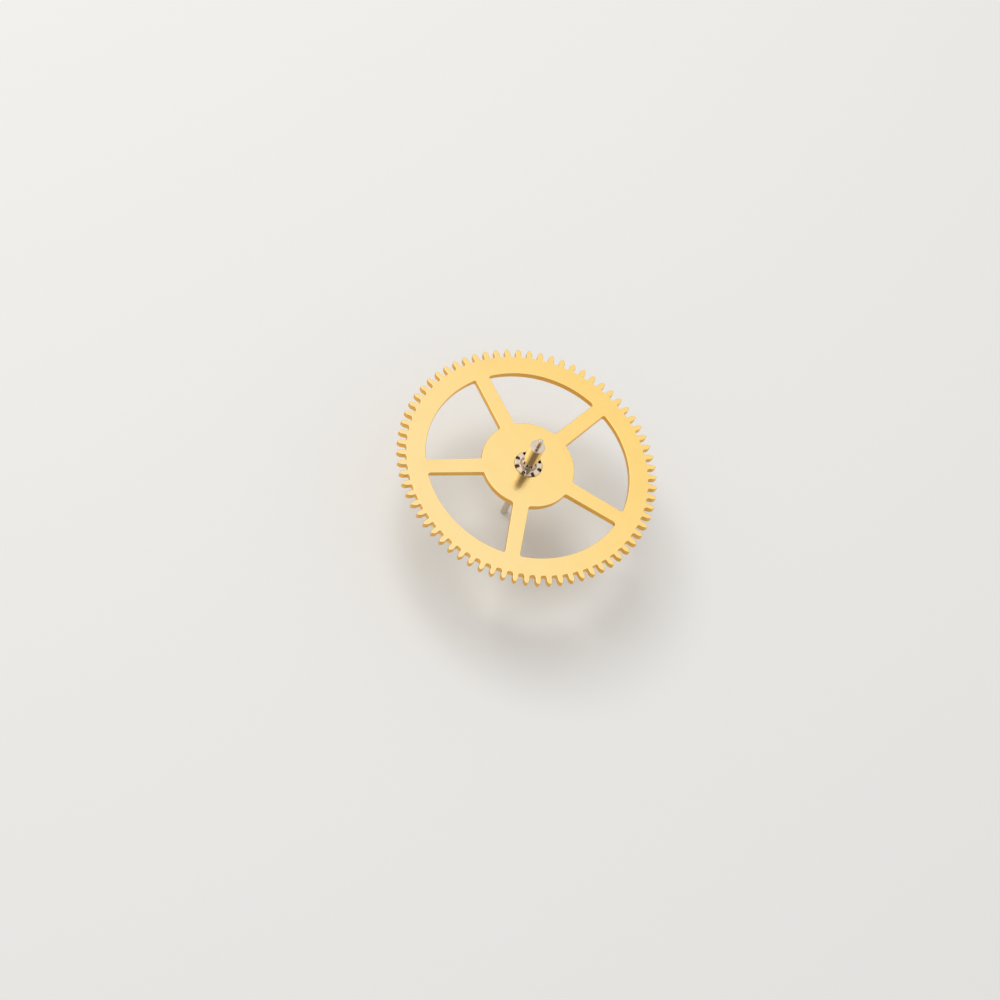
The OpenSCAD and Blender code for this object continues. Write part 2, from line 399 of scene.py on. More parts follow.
def half_tooth(count, pitch_r, width, addendum, dedendum, tip_r, root_r):
    """Half of a tooth that lies along +X and half of the space beside it, from the tip to the root.

    The tooth has a rounded tip, an ogive down to the pitch circle, and then a radial flank.
    """
    half = math.asin(width / 2 / pitch_r)
    base_x = pitch_r * math.cos(half)
    a = width / 2
    rt = min(tip_r, FILLET_SHARE * a)
    tip_c = pitch_r + addendum - base_x - rt
    ogive_r = (a * a + tip_c * tip_c - rt * rt) / (2 * (a - rt))
    tip_angle = math.atan2(tip_c, ogive_r - a)
    root = pitch_r - dedendum
    space = math.pi / count - half
    rf = min(root_r, FILLET_SHARE * (root + root_r) * math.sin(space))
    corner_r = root + rf
    corner_a = math.asin(rf / corner_r)
    quarter = math.pi / 2
    points = [Vector((base_x + p.y, p.x)) for p in arc((0, tip_c), rt, quarter, tip_angle, TIP_STEPS)]
    for i in reversed(range(FLANK_STEPS)):
        t = tip_angle * i / FLANK_STEPS
        points.append(Vector((base_x + ogive_r * math.sin(t), a - ogive_r + ogive_r * math.cos(t))))
    corner = polar(corner_r, half + corner_a)
    points += arc(corner, rf, half - quarter, half + corner_a - math.pi, ROOT_STEPS)
    return points + [polar(root, math.pi / count)]


def repeated(half, count, turn):
    """The closed outline of all teeth, each made of the half tooth and its mirror image."""
    tooth = (mirrored(half) + half[1:])[1:]
    outline = []
    for k in range(count):
        c, s = math.cos(turn + math.tau * k / count), math.sin(turn + math.tau * k / count)
        outline += [Vector((p.x * c - p.y * s, p.x * s + p.y * c)) for p in tooth]
    return outline


def fillet_centre(start, along, inward, radius, centre_r):
    """Centre of a fillet that touches a spoke's side and the circle that the side runs into."""
    q = start + inward * radius
    b = q.dot(along)
    return q + along * (math.sqrt(b * b - q.dot(q) + centre_r * centre_r) - b)


def window(s, outer_r):
    """Outline of the window between the spoke along +X and the next one, counter-clockwise."""
    hub_r = s.hub_d / 2
    middle = math.pi / s.spokes
    a = Vector((hub_r, s.spoke_hub_w / 2))
    b = Vector((outer_r, s.spoke_rim_w / 2))
    along = (b - a).normalized()
    inward = Vector((-along.y, along.x))
    inner = fillet_centre(a, along, inward, s.window_r, hub_r + s.window_r)
    outer = fillet_centre(a, along, inward, s.window_r, outer_r - s.window_r)
    side = math.atan2(-inward.y, -inward.x)
    inner_a = math.atan2(inner.y, inner.x)
    outer_a = math.atan2(outer.y, outer.x)
    half = arc((0, 0), hub_r, middle, inner_a, WINDOW_STEPS // 2)[:-1]
    half += arc(inner, s.window_r, inner_a - math.pi, side, CORNER_STEPS)
    half += arc(outer, s.window_r, side, outer_a, CORNER_STEPS)
    half += arc((0, 0), outer_r, outer_a, middle, WINDOW_STEPS)[1:]
    return half[:-1] + mirrored(half, middle)[:-1]


def moved_in(loop, distance):
    """The closed loop moved to its left, which is into the metal, by a distance."""
    moved = []
    for before, here, after in zip(loop[-1:] + loop[:-1], loop, loop[1:] + loop[:1]):
        way = (here - before).normalized() + (after - here).normalized()
        left = Vector((-way.y, way.x))
        moved.append(here + left * (2 * distance / left.length_squared))
    return moved


def at_height(loop, height):
    """The flat outline's points at one height."""
    return [Vector((p.x, p.y, height)) for p in loop]


def circle(radius, count, turn=0.0):
    """A closed circle of evenly spaced points, counter-clockwise."""
    return [polar(radius, turn + math.tau * i / count) for i in range(count)]


def add_band(bm, lower, upper):
    """Quads between two closed rows of vertices."""
    for i in range(len(lower)):
        j = (i + 1) % len(lower)
        bm.faces.new((lower[i], lower[j], upper[j], upper[i])).smooth = True


def add_rings(bm, rings):
    """Vertices for each ring, joined by bands of quads. Returns the rows of vertices."""
    rows = [[bm.verts.new(p) for p in ring] for ring in rings]
    for lower, upper in zip(rows, rows[1:]):
        add_band(bm, lower, upper)
    return rows


def closed_edges(bm, row):
    """The edges along a closed row of vertices."""
    return [bm.edges.get((row[i - 1], row[i])) for i in range(len(row))]


def add_cap(bm, rows, up):
    """Flat face that fills the space between closed rows of vertices."""
    edges = [e for row in rows for e in closed_edges(bm, row)]
    made = bmesh.ops.triangle_fill(bm, use_beauty=True, edges=edges, normal=(0, 0, up))
    for item in made["geom"]:
        if isinstance(item, bmesh.types.BMFace):
            item.smooth = False


def edge_heights(s):
    """How the plate's walls run from its lower face to its upper one: (distance in, height)."""
    base, top = -s.thickness / 2, s.thickness / 2
    margin = 0.1 * s.thickness
    lower = [
        (s.lower_edge * (1 - math.sin(a)), base + s.lower_edge * (1 - math.cos(a)))
        for a in (math.pi / 2 * i / EDGE_STEPS for i in range(EDGE_STEPS + 1))
    ]
    upper = [
        (s.upper_edge * (1 - math.sin(a)), top - s.upper_edge * (1 - math.cos(a)))
        for a in (math.pi / 2 * i / EDGE_STEPS for i in reversed(range(EDGE_STEPS + 1)))
    ]
    walls = [(0, lower[-1][1] + margin), (0, upper[0][1] - margin)]
    return lower + walls + upper


def bore_rings(s, rivet):
    """Rings of the bore, from its lower edge up to the dent that the punch left round it."""
    base, top = -s.thickness / 2, s.thickness / 2
    seat, spread = rivet.seat_d / 2, rivet.spread_d / 2
    profile = [(seat + s.lower_edge, base), (seat, base + s.lower_edge), (seat, top - rivet.grip)]
    profile += [(spread + out * rivet.rounding, top - deep * rivet.dent) for out, deep in DENT_PROFILE]
    return [at_height(circle(r, BORE_STEPS)[::-1], z) for r, z in profile]


def new_object(name, data):
    """An object with the given data, in the scene."""
    made = bpy.data.objects.new(name, data)
    bpy.context.scene.collection.objects.link(made)
    return made


def make_object(name, bm, material):
    """A mesh object in metres from a mesh drawn in millimetres."""
    bmesh.ops.recalc_face_normals(bm, faces=bm.faces)
    bm.transform(Matrix.Scale(MM, 4))
    mesh = bpy.data.meshes.new(name)
    bm.to_mesh(mesh)
    bm.free()
    mesh.materials.append(material)
    return new_object(name, mesh)


def build_wheel(s, rivet, material):
    """The gilt wheel: one plate with rounded edges, teeth, windows and a countersunk bore."""
    module = s.pitch_d / s.teeth
    tooth = half_tooth(
        s.teeth, s.pitch_d / 2, math.pi * module / 2, s.addendum * module, s.dedendum * module,
        s.tip_r, s.root_r,
    )
    window_outer = s.pitch_d / 2 - s.dedendum * module - s.rim_w
    loops = [repeated(tooth, s.teeth, s.tooth_turn)]
    opening = window(s, window_outer)[::-1]
    for i in range(s.spokes):
        turn = Matrix.Rotation(math.tau * i / s.spokes, 2)
        loops.append([turn @ p for p in opening])

    bm = bmesh.new()
    groups = [
        add_rings(bm, [at_height(moved_in(loop, inset), z) for inset, z in edge_heights(s)])
        for loop in loops
    ]
    groups.append(add_rings(bm, bore_rings(s, rivet)))
    add_cap(bm, [rows[0] for rows in groups], -1)
    add_cap(bm, [rows[-1] for rows in groups], 1)
    return make_object("toothed_wheel", bm, material)


def resampled(points, count):
    """The open outline as a given number of points, evenly spaced along it."""
    lengths = [0.0]
    for a, b in zip(points, points[1:]):
        lengths.append(lengths[-1] + (b - a).length)
    even, k = [], 0
    for i in range(count - 1):
        reach = lengths[-1] * i / (count - 1)
        while lengths[k + 1] < reach:
            k += 1
        part = (reach - lengths[k]) / (lengths[k + 1] - lengths[k])
        even.append(points[k].lerp(points[k + 1], part))
    return even + [points[-1]]


def half_end(leaves, rivet, collar_r):
    """Half of a spread leaf end that lies along +X, from its outer middle into the gap beside it."""
    spread_r = rivet.spread_d / 2
    w = rivet.gap / 2
    rounding = END_CORNER_SHARE * w
    reach = math.sqrt((spread_r - rounding) ** 2 - (w + rounding) ** 2)
    middle = math.pi / leaves
    start = math.atan2(w + rounding, reach)
    points = arc((0, 0), spread_r, middle, start, CORNER_STEPS)
    points += arc((reach, w + rounding), rounding, start, -math.pi / 2, CORNER_STEPS)[1:]
    points += arc((collar_r + w, 0), w, math.pi / 2, math.pi, CORNER_STEPS)
    return [polar(p.length, middle - math.atan2(p.y, p.x)) for p in points]


def held_in(loop, radius):
    """The loop with every point past a radius brought back to it."""
    return [p * min(1, radius / p.length) for p in loop]


def held_out(loop, radius):
    """The loop with every point inside a radius brought out to it."""
    return [p * max(1, radius / p.length) for p in loop]


def between(a, b, part):
    """The loop part of the way from loop a to loop b."""
    return [p.lerp(q, part) for p, q in zip(a, b)]


def smooth_step(value):
    """A smooth rise from 0 to 1."""
    value = min(max(value, 0.0), 1.0)
    return value * value * (3 - 2 * value)


def rounded_profile(corners):
    """Turned outline through corners of (radius, height, rounding), with each corner rounded.

    Each long straight gets a point near both its ends, so that its shading stays straight.
    """
    points = []
    for i, (x, y, rounding) in enumerate(corners):
        here = Vector((x, y))
        if not rounding:
            points.append(here)
            continue
        back = (Vector(corners[i - 1][:2]) - here).normalized()
        ahead = (Vector(corners[i + 1][:2]) - here).normalized()
        half = back.angle(ahead) / 2
        centre = here + (back + ahead).normalized() * (rounding / math.sin(half))
        first = here + back * (rounding / math.tan(half)) - centre
        last = here + ahead * (rounding / math.tan(half)) - centre
        start = math.atan2(first.y, first.x)
        sweep = (math.atan2(last.y, last.x) - start + math.pi) % math.tau - math.pi
        points += arc(centre, rounding, start, start + sweep, FILLET_STEPS)
    full = [points[0]]
    for a, b in zip(points, points[1:]):
        gap = (b - a).length
        if gap > 4 * STRAIGHT_MARGIN:
            part = STRAIGHT_MARGIN / gap
            full += [a.lerp(b, part), b.lerp(a, part)]
        full.append(b)
    return full


def crown_radius(rivet, arbor):
    """Radius at which the top of the spread ends meets the ring that the punch left."""
    return arbor.upper_d / 2 + rivet.collar - rivet.rounding - CLEARANCE


def leaf_rings(p, rivet, arbor, body, top, base):
    """Rings of the leaves: hollow lower face, lower edges, flanks, and the seat in the bore."""
    arbor_r = arbor.lower_d / 2
    clear_r = arbor_r + EDGE_CLEAR * arbor.fillet
    pitch_r = p.pitch_d / 2
    low = base - p.leaf_len
    count = len(body)
    start = p.leaf_turn - math.pi / p.leaves
    inner = circle(arbor_r + arbor.fillet, count, start + math.tau / count)

    def face(point):
        part = smooth_step((point.length - arbor_r) / (pitch_r - arbor_r))
        return low + p.hollow * (1 - part)

    rings = []
    edge = held_out(moved_in(body, p.edge), clear_r)
    for part in FACE_PARTS:
        rings.append([Vector((q.x, q.y, face(q))) for q in between(inner, edge, part)])
    for i in range(EDGE_STEPS + 1):
        a = math.pi / 2 * i / EDGE_STEPS
        loop = held_out(moved_in(body, p.edge * (1 - math.sin(a))), clear_r)
        rings.append([Vector((q.x, q.y, face(q) + p.edge * (1 - math.cos(a)))) for q in loop])
    rings.append(at_height(body, low + p.hollow + 2 * p.edge))
    rings.append(at_height(body, base - p.edge))
    rings.append(at_height(body, base))
    seat = held_in(body, rivet.seat_d / 2)
    rings.append(at_height(seat, base))
    rings.append(at_height(seat, top - rivet.grip))
    return rings


def rivet_rings(p, rivet, arbor, ends, top):
    """Rings of the spread ends: the countersink, the bulging wall, the rounded edge and the top."""
    spread_r = rivet.spread_d / 2
    collar_r = arbor.upper_d / 2 + rivet.collar
    high = top + rivet.height
    count = len(ends)
    per_leaf = count // p.leaves
    chance = random.Random(CHANCE_SEED)
    reach = [chance.uniform(*REACH_CHANCE) * rivet.uneven for _ in range(p.leaves)]
    lift = [chance.uniform(*LIFT_CHANCE) * rivet.uneven for _ in range(p.leaves)]

    def pressed(loop, height, fall=0.0):
        ring = []
        for i, q in enumerate(loop):
            part = (q.length - collar_r) / (spread_r - collar_r)
            weight = smooth_step(part)
            k = i // per_leaf
            flat = q * (1 + weight * reach[k] / q.length)
            drop = fall * max(part, 0) ** 2
            ring.append(Vector((flat.x, flat.y, height + weight * lift[k] - drop)))
        return ring

    seat_r = rivet.seat_d / 2
    fall = CROWN_FALL * rivet.rounding
    rings = [
        at_height(held_in(ends, seat_r), top - GRIP_PARTS[0] * rivet.grip),
        at_height(held_in(ends, 0.5 * (seat_r + spread_r)), top - GRIP_PARTS[1] * rivet.grip),
        at_height(ends, top),
        pressed(moved_in(ends, -rivet.bulge), top + BULGE_PART * rivet.height),
    ]
    rounded = rivet.height * ROUNDED_PART
    for i in range(CROWN_STEPS + 1):
        a = math.pi / 2 * i / CROWN_STEPS
        distance = rivet.rounding * (1 - math.cos(a)) - rivet.bulge * (1 - i / CROWN_STEPS)
        rings.append(pressed(moved_in(ends, distance), high - rounded * (1 - math.sin(a)), fall))
    start = p.leaf_turn - math.pi / p.leaves
    inner = circle(crown_radius(rivet, arbor), count, start + math.tau / count)
    crown = moved_in(ends, rivet.rounding)
    for part in CROWN_PARTS:
        rings.append(pressed(between(crown, inner, part), high, fall))
    return rings


def build_pinion(p, rivet, arbor, plate_t, material):
    """The steel pinion, lofted as one skin from the lower pivot's end to the upper one's."""
    module = p.pitch_d / p.leaves
    leaf = half_tooth(
        p.leaves, p.pitch_d / 2, p.leaf_w * module, p.addendum * module, p.dedendum * module,
        p.tip_r, p.root_r,
    )
    top, base = plate_t / 2, -plate_t / 2
    collar_r = arbor.upper_d / 2 + rivet.collar
    body = repeated(resampled(leaf, LEAF_POINTS), p.leaves, p.leaf_turn)
    ends = repeated(
        resampled(half_end(p.leaves, rivet, collar_r), LEAF_POINTS), p.leaves, p.leaf_turn
    )
    count = len(body)
    start = p.leaf_turn - math.pi / p.leaves + math.tau / count

    lower_end, upper_end = PINION_BOX[0].z / MM, PINION_BOX[1].z / MM
    lower_shoulder, upper_shoulder = LOWER_SHOULDER / MM, UPPER_SHOULDER / MM
    face = base - p.leaf_len + p.hollow
    lower = [
        (0, lower_end, 0),
        (arbor.lower_pivot_d / 2, lower_end, arbor.end_r),
        (arbor.lower_pivot_d / 2, lower_shoulder, arbor.fillet),
        (arbor.lower_d / 2, lower_shoulder, arbor.bevel),
        (arbor.lower_d / 2, face, arbor.fillet),
        (arbor.lower_d / 2 + arbor.fillet, face, 0),
    ]
    high = top + rivet.height
    upper = [
        (crown_radius(rivet, arbor), high, 0),
        (arbor.upper_d / 2, high - rivet.punch_depth, PUNCH_FILLET * arbor.fillet),
        (arbor.upper_d / 2, upper_shoulder, arbor.bevel),
        (arbor.upper_pivot_d / 2, upper_shoulder, arbor.fillet),
        (arbor.upper_pivot_d / 2, upper_end, arbor.end_r),
        (0, upper_end, 0),
    ]
    rings = [at_height(circle(q.x, count, start), q.y) for q in rounded_profile(lower)[1:-1]]
    rings += leaf_rings(p, rivet, arbor, body, top, base)
    rings += rivet_rings(p, rivet, arbor, ends, top)
    rings += [at_height(circle(q.x, count, start), q.y) for q in rounded_profile(upper)[1:-1]]

    bm = bmesh.new()
    rows = add_rings(bm, rings)
    for row, height in ((rows[0], lower_end), (rows[-1], upper_end)):
        pole = bm.verts.new((0, 0, height))
        for i in range(count):
            bm.faces.new((pole, row[i - 1], row[i])).smooth = True
    bmesh.ops.remove_doubles(bm, verts=bm.verts, dist=SAME_POINT)
    bmesh.ops.dissolve_degenerate(bm, edges=bm.edges, dist=SAME_POINT)
    pinion = make_object("riveted_pinion", bm, material)
    pinion.data.set_sharp_from_angle(angle=SHARP_ANGLE)
    return pinion


def shader(tree, kind, inputs=None, **settings):
    """Adds a shader node, with its settings, and its inputs set to values or joined to sockets."""
    made = tree.nodes.new("ShaderNode" + kind)
    for name, value in settings.items():
        setattr(made, name, value)
    for key, value in (inputs or {}).items():
        if isinstance(value, bpy.types.NodeSocket):
            tree.links.new(value, made.inputs[key])
        else:
            made.inputs[key].default_value = value
    return made


def empty_tree(owner):
    """The node tree of a material or world, with nothing in it."""
    owner.use_nodes = True
    owner.node_tree.nodes.clear()
    return owner.node_tree


def calculate(tree, operation, a, b=0.0):
    """One sum on numbers."""
    return shader(tree, "Math", {0: a, 1: b}, operation=operation).outputs[0]


def product(tree, *factors):
    """All the numbers multiplied with each other."""
    total = factors[0]
    for factor in factors[1:]:
        total = calculate(tree, "MULTIPLY", total, factor)
    return total


def ramp(tree, value, start, end, low=0.0, high=1.0):
    """A smooth change from low to high as the value goes from start to end."""
    inputs = {"Value": value, "From Min": start, "From Max": end, "To Min": low, "To Max": high}
    return shader(tree, "MapRange", inputs, interpolation_type="SMOOTHSTEP").outputs["Result"]


def blend_numbers(tree, factor, a, b):
    """A number that goes from a to b with the factor."""
    return shader(tree, "Mix", {0: factor, 2: a, 3: b}, data_type="FLOAT").outputs[0]


def blend_colours(tree, factor, a, b):
    """A colour that goes from a to b with the factor."""
    return shader(tree, "Mix", {0: factor, 6: a, 7: b}, data_type="RGBA").outputs[2]


def stretched(tree, point, scale):
    """The point with each of its coordinates scaled by its own number."""
    return shader(tree, "VectorMath", {0: point, 1: scale}, operation="MULTIPLY").outputs[0]


def noise(tree, point, scale, detail=2.0, roughness=0.5):
    """Smooth noise from 0 to 1."""
    inputs = {"Vector": point, "Scale": scale, "Detail": detail, "Roughness": roughness}
    return shader(tree, "TexNoise", inputs).outputs["Fac"]


class Places:
    """Where a point of the surface is: in millimetres, from the axis, and which way it faces."""

    def __init__(self, tree):
        coordinates = shader(tree, "TexCoord")
        scaled = {0: coordinates.outputs["Object"], "Scale": 1 / MM}
        self.point = shader(tree, "VectorMath", scaled, operation="SCALE").outputs[0]
        split = shader(tree, "SeparateXYZ", {0: self.point})
        self.height = split.outputs[2]
        flat = shader(tree, "CombineXYZ", {0: split.outputs[0], 1: split.outputs[1]}).outputs[0]
        self.radius = shader(tree, "VectorMath", {0: flat}, operation="LENGTH").outputs["Value"]
        facing = shader(tree, "SeparateXYZ", {0: coordinates.outputs["Normal"]})
        self.upright = calculate(tree, "ABSOLUTE", facing.outputs[2])
        self.turned = shader(tree, "CombineXYZ", {0: self.radius, 2: self.height}).outputs[0]


def new_metal(name):
    """An empty node material with a metallic surface. Returns the material, tree and surface."""
    material = bpy.data.materials.new(name)
    tree = empty_tree(material)
    surface = shader(tree, "BsdfPrincipled", {"Metallic": 1.0})
    shader(tree, "OutputMaterial", {"Surface": surface.outputs[0]})
    return material, tree, surface


def add_relief(tree, surface, relief):
    """Raises and lowers the surface by a relief that runs from 0 to about 1."""
    bump = shader(tree, "Bump", {"Height": relief, "Distance": RELIEF, "Strength": 1.0})
    tree.links.new(bump.outputs[0], surface.inputs["Normal"])


def fine_scratches(tree, point):
    """Thin straight scratches that lie in several directions, from 0 to 1."""
    total = 0.0
    for turn, shift in SCRATCH_SETS:
        turned = shader(
            tree, "VectorRotate", {"Vector": point, "Angle": turn}, rotation_type="Z_AXIS"
        ).outputs[0]
        moved = shader(tree, "VectorMath", {0: turned, 1: (shift, shift, 0)}, operation="ADD").outputs[0]
        lines = noise(tree, stretched(tree, moved, SCRATCH_SCALE), 1.0, 1.0)
        total = calculate(tree, "MAXIMUM", total, ramp(tree, lines, *SCRATCH_LINES))
    handled = ramp(tree, noise(tree, point, HANDLED_SCALE), *HANDLED_SPOTS)
    return product(tree, total, handled)


def gilt_brass(finish, wheel, rivet):
    """Gilt brass: polished on the hub, finely grained on the rim and spokes, cut on the walls."""
    material, tree, surface = new_metal("gilt_brass")
    at = Places(tree)
    on_face = ramp(tree, at.upright, *FACE_SLOPES)
    hub_r, bore_r = wheel.hub_d / 2, rivet.spread_d / 2
    on_hub = ramp(tree, at.radius, *(hub_r + fade for fade in POLISH_FADE))
    in_bore = ramp(tree, at.radius, bore_r + CLEARANCE, bore_r - 2 * CLEARANCE)

    # The gold turns from deep to pale across the wheel
    across = shader(
        tree, "VectorMath", {0: at.point, 1: (*polar(1, PALE_SIDE), 0)}, operation="DOT_PRODUCT"
    ).outputs["Value"]
    towards_pale = ramp(tree, across, -wheel.pitch_d / 2, wheel.pitch_d / 2)
    sheet = blend_colours(tree, towards_pale, (*finish.deep, 1.0), (*finish.pale, 1.0))
    cloud = noise(tree, at.point, CLOUD_SCALE, 3.0)
    worn = ramp(tree, cloud, *WORN_CLOUDS, 0.0, WORN_SHARE)
    gold = blend_colours(tree, worn, sheet, (*finish.thin, 1.0))
    # Painted reflection on the walls and teeth: their darker gold stands for the dark surroundings they
    # mirror
    gold = blend_colours(tree, on_face, (*finish.wall, 1.0), gold)
    gold = blend_colours(tree, in_bore, gold, (*finish.shade, 1.0))
    tree.links.new(gold, surface.inputs["Base Color"])

    grain = noise(tree, at.point, GRAIN_SCALE, 3.0, 0.6)
    lines = noise(tree, stretched(tree, at.turned, HUB_LINE_SCALE), 1.0, 2.0)
    cuts = noise(tree, stretched(tree, at.point, CUT_SCALE), 1.0, 2.0)
    waves = noise(tree, at.point, WAVE_SCALE, 1.0)
    scratches = fine_scratches(tree, at.point)
    hub_lines, hub_waves = product(tree, lines, HUB_LINE_RELIEF), product(tree, waves, WAVE_RELIEF)
    face_relief = blend_numbers(tree, on_hub, grain, calculate(tree, "ADD", hub_lines, hub_waves))
    cut_in = product(tree, scratches, SCRATCH_RELIEF)
    face_relief = calculate(tree, "SUBTRACT", face_relief, cut_in)
    wall_relief = product(tree, cuts, CUT_RELIEF)
    add_relief(tree, surface, blend_numbers(tree, on_face, wall_relief, face_relief))

    face_rough = blend_numbers(tree, on_hub, finish.face_roughness, finish.hub_roughness)
    in_grain = ramp(tree, grain, *ROUGH_GRAIN, *GRAIN_ROUGHNESS)
    face_rough = calculate(tree, "ADD", face_rough, in_grain)
    in_scratches = product(tree, scratches, SCRATCH_ROUGHNESS)
    face_rough = calculate(tree, "ADD", face_rough, in_scratches)
    rough = blend_numbers(tree, on_face, finish.wall_roughness, face_rough)
    tree.links.new(rough, surface.inputs["Roughness"])
    return material


def polished_steel(finish, wheel, pinion, rivet, arbor):
    """Polished steel: turned lines round the axis, lengthwise lines on the leaves, pressed ends.

    The gaps between the spread ends and what lies below them in the bore get painted shade, and the
    punch's ring gets it more weakly.
    """
    material, tree, surface = new_metal("polished_steel")
    at = Places(tree)
    top, base = wheel.thickness / 2, -wheel.thickness / 2
    high, low = top + rivet.height, base - pinion.leaf_len
    upper_r, lower_r, seat_r = arbor.upper_d / 2, arbor.lower_d / 2, rivet.seat_d / 2
    soft = 0.03

    above = ramp(tree, at.height, low + soft, low + 2 * soft)
    below = ramp(tree, at.height, top - soft, top - 2 * soft)
    outside = ramp(tree, at.radius, lower_r, lower_r + soft)
    on_leaves = product(tree, above, below, outside)
    over_plate = ramp(tree, at.height, top - soft, top)
    past_arbor = ramp(tree, at.radius, *(upper_r + reach for reach in ENDS_FADE))
    on_rivet = product(tree, over_plate, past_arbor)

    # Painted shade: the steel darkens in the gaps and the bore below them, and more weakly in the punch's
    # ring
    sunk = ramp(tree, at.height, high - CLEARANCE, high - rivet.punch_depth)
    near_plate = ramp(tree, at.height, *(base - depth for depth in SHADE_BELOW))
    in_bore = ramp(tree, at.radius, seat_r + soft, seat_r)
    in_gap = product(tree, sunk, near_plate, in_bore, past_arbor)
    near_arbor = ramp(tree, at.radius, *(upper_r + reach for reach in SHADE_ROUND))
    low_down = ramp(tree, at.height, *(high + reach for reach in SHADE_ABOVE))
    in_ring = product(tree, near_arbor, low_down, over_plate)
    oiled = calculate(tree, "MAXIMUM", in_gap, product(tree, in_ring, SHADE_IN_RING))

    stain = ramp(tree, noise(tree, at.point, STAIN_SCALE, 3.0), *STAIN_SPOTS)
    pressed = product(tree, on_rivet, calculate(tree, "ADD", stain, STAIN_LEAST))
    metal = blend_colours(tree, pressed, (*finish.base, 1.0), (*finish.pressed, 1.0))
    metal = blend_colours(tree, oiled, metal, (*finish.oiled, 1.0))
    tree.links.new(metal, surface.inputs["Base Color"])

    lathe = noise(tree, at.turned, LATHE_SCALE, 2.0)
    lengthwise = noise(tree, stretched(tree, at.point, LEAF_LINE_SCALE), 1.0, 2.0)
    hammered = noise(tree, at.point, HAMMER_SCALE, 3.0)
    relief = blend_numbers(tree, on_leaves, product(tree, lathe, LATHE_RELIEF), lengthwise)
    hammer_relief = product(tree, hammered, HAMMER_RELIEF)
    add_relief(tree, surface, blend_numbers(tree, on_rivet, relief, hammer_relief))

    rough = blend_numbers(tree, on_rivet, finish.turned_roughness, finish.pressed_roughness)
    in_hammering = ramp(tree, hammered, *ROUGH_HAMMERING, *HAMMER_ROUGHNESS)
    rough = calculate(tree, "ADD", rough, in_hammering)
    rough = blend_numbers(tree, oiled, rough, finish.oiled_roughness)
    tree.links.new(rough, surface.inputs["Roughness"])
    return material


def towards_sky(azimuth, elevation):
    """The unit vector that points from the part to a place in the sky."""
    return Vector((
        math.cos(azimuth) * math.cos(elevation),
        math.sin(azimuth) * math.cos(elevation),
        math.sin(elevation),
    ))


def view_axes():
    """Direction towards the photograph's camera, and the picture's right and up, as unit vectors."""
    towards = towards_sky(VIEW_AZIMUTH, math.pi / 2 - VIEW_TILT)
    level = Vector((-math.sin(VIEW_AZIMUTH), math.cos(VIEW_AZIMUTH), 0))
    steep = towards.cross(level)
    right = level * math.cos(PICTURE_ROLL) + steep * math.sin(PICTURE_ROLL)
    up = steep * math.cos(PICTURE_ROLL) - level * math.sin(PICTURE_ROLL)
    return towards, right, up


def add_camera():
    """The photograph's camera, aimed so that the origin falls on its own pixel."""
    towards, right, up = view_axes()
    data = bpy.data.cameras.new("photo_camera")
    data.sensor_width = SENSOR_WIDTH
    focal_pixels = PIXELS_PER_MM * VIEW_DISTANCE / MM
    data.lens = focal_pixels * SENSOR_WIDTH / PICTURE_SIZE
    data.clip_start = 1 * MM
    data.clip_end = 10
    camera = new_object("photo_camera", data)
    right_of_middle = (ORIGIN_PIXEL[0] - PICTURE_SIZE / 2) / PIXELS_PER_MM * MM
    above_middle = (PICTURE_SIZE / 2 - ORIGIN_PIXEL[1]) / PIXELS_PER_MM * MM
    target = -right * right_of_middle - up * above_middle
    place = towards * VIEW_DISTANCE
    back = (place - target).normalized()
    side = up.cross(back).normalized()
    axes = Matrix((side, back.cross(side), back)).transposed()
    camera.matrix_world = Matrix.Translation(place) @ axes.to_4x4()
    bpy.context.scene.camera = camera


def add_floor(settings):
    """A plain pale floor just below the lower pivot's end, which fades to white far away."""
    bm = bmesh.new()
    bmesh.ops.create_grid(bm, x_segments=1, y_segments=1, size=FLOOR_REACH)
    mesh = bpy.data.meshes.new("floor")
    bm.to_mesh(mesh)
    bm.free()
    floor = new_object("floor", mesh)
    floor.location.z = PINION_BOX[0].z - FLOOR_GAP

    material = bpy.data.materials.new("pale_floor")
    tree = empty_tree(material)
    place = shader(tree, "TexCoord").outputs["Object"]
    away = shader(tree, "VectorMath", {0: place}, operation="LENGTH").outputs["Value"]
    matt = shader(tree, "BsdfDiffuse", {"Color": (*settings.floor, 1.0)})
    white = shader(tree, "Emission", {"Color": (1, 1, 1, 1), "Strength": 1.0})
    far = ramp(tree, away, *FLOOR_FADE)
    seen = shader(tree, "MixShader", {0: far, 1: matt.outputs[0], 2: white.outputs[0]})
    clear = shader(tree, "BsdfTransparent")
    from_below = shader(tree, "NewGeometry").outputs["Backfacing"]
    both = shader(tree, "MixShader", {0: from_below, 1: seen.outputs[0], 2: clear.outputs[0]})
    shader(tree, "OutputMaterial", {"Surface": both.outputs[0]})
    mesh.materials.append(material)


def add_key_light(settings):
    """A large soft lamp on the picture's upper left."""
    data = bpy.data.lights.new("key_light", "AREA")
    data.shape = "DISK"
    data.size = KEY_WIDTH
    data.energy = settings.key_power
    lamp = new_object("key_light", data)
    place = towards_sky(KEY_AZIMUTH, KEY_ELEVATION)
    lamp.location = place * KEY_DISTANCE
    lamp.rotation_euler = place.to_track_quat("Z", "Y").to_euler()
    lamp.visible_camera = False
    lamp.visible_glossy = False


def spot(tree, direction, azimuth, elevation, inner, outer):
    """1 within the inner angle of a place in the sky, and 0 past the outer one."""
    sides = {0: direction, 1: towards_sky(azimuth, elevation)}
    cosine = shader(tree, "VectorMath", sides, operation="DOT_PRODUCT").outputs["Value"]
    return ramp(tree, calculate(tree, "ARCCOSINE", cosine), outer, inner)


